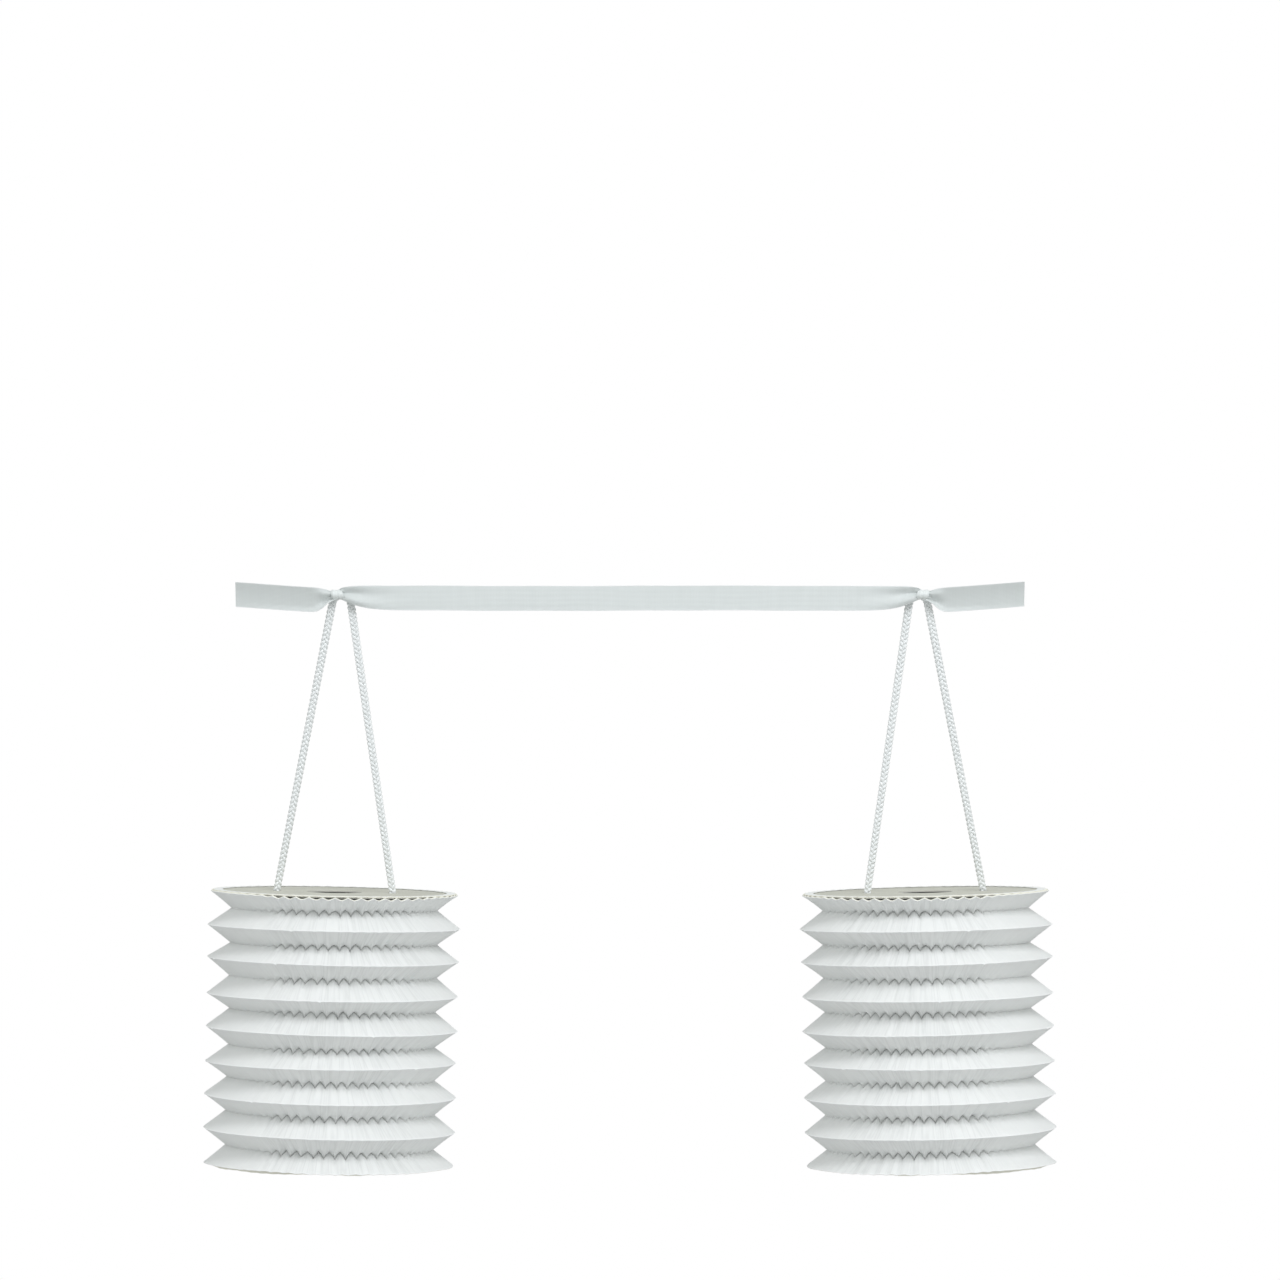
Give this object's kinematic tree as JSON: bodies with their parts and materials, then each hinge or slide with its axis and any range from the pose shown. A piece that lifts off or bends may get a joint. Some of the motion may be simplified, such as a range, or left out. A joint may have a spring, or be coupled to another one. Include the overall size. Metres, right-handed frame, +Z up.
{
  "type": "accordion paper lantern garland section",
  "caption": "Pleated white paper lanterns that fold flat, hung on braided cord loops from a knotted satin ribbon.",
  "frame": {"origin": "centre of the back face of the ribbon's middle span, halfway between the two lanterns", "axes": "+X along the ribbon to the right, as seen from the front; +Y out of the ribbon's back; +Z up"},
  "size_m": [0.3438, 0.1016, 0.2349],
  "materials": {
    "satin_ribbon": "satin",
    "braided_cord": "satin",
    "white_paper": "matte",
    "grey_card": "matte"
  },
  "bodies": {
    "ribbon": {"ribbon": "satin_ribbon"},
    "left_knot": {"left_ribbon_knot": "satin_ribbon"},
    "left_hanger": {"left_hanging_cord": "braided_cord", "left_cord_end_knots": "braided_cord"},
    "left_lantern": {"left_top_card": "grey_card", "left_paper_bellows": "white_paper"},
    "left_base": {"left_bottom_card": "grey_card"},
    "right_knot": {"right_ribbon_knot": "satin_ribbon"},
    "right_hanger": {"right_hanging_cord": "braided_cord", "right_cord_end_knots": "braided_cord"},
    "right_lantern": {"right_top_card": "grey_card", "right_paper_bellows": "white_paper"},
    "right_base": {"right_bottom_card": "grey_card"}
  },
  "joints": [
    {"name": "left_swing", "type": "hinge", "parent": "ribbon", "child": "left_knot", "pos_m": [-0.1176, -0.00015, 0.0008], "axis": [1, 0, 0], "range_deg": [-30, 30]},
    {"name": "left_sway", "type": "hinge", "parent": "left_knot", "child": "left_hanger", "pos_m": [-0.116, 0, -0.0028], "axis": [0, 1, 0], "range_deg": [-15, 15]},
    {"name": "left_tilt", "type": "hinge", "parent": "left_hanger", "child": "left_lantern", "pos_m": [-0.11863, 0, -0.11872], "axis": [0.9997, 0, -0.0227], "range_deg": [-20, 20]},
    {"name": "left_collapse", "type": "slide", "parent": "left_lantern", "child": "left_base", "axis": [0.0227, 0, 0.9997], "range_m": [0, 0.093], "deforming": ["left_paper_bellows"]},
    {"name": "right_swing", "type": "hinge", "parent": "ribbon", "child": "right_knot", "pos_m": [0.1176, -0.00015, 0.0008], "axis": [1, 0, 0], "range_deg": [-30, 30]},
    {"name": "right_sway", "type": "hinge", "parent": "right_knot", "child": "right_hanger", "pos_m": [0.116, 0, -0.0028], "axis": [0, 1, 0], "range_deg": [-15, 15]},
    {"name": "right_tilt", "type": "hinge", "parent": "right_hanger", "child": "right_lantern", "pos_m": [0.11863, 0, -0.11872], "axis": [0.9997, 0, 0.0227], "range_deg": [-20, 20]},
    {"name": "right_collapse", "type": "slide", "parent": "right_lantern", "child": "right_base", "axis": [-0.0227, 0, 0.9997], "range_m": [0, 0.093], "deforming": ["right_paper_bellows"]}
  ]
}
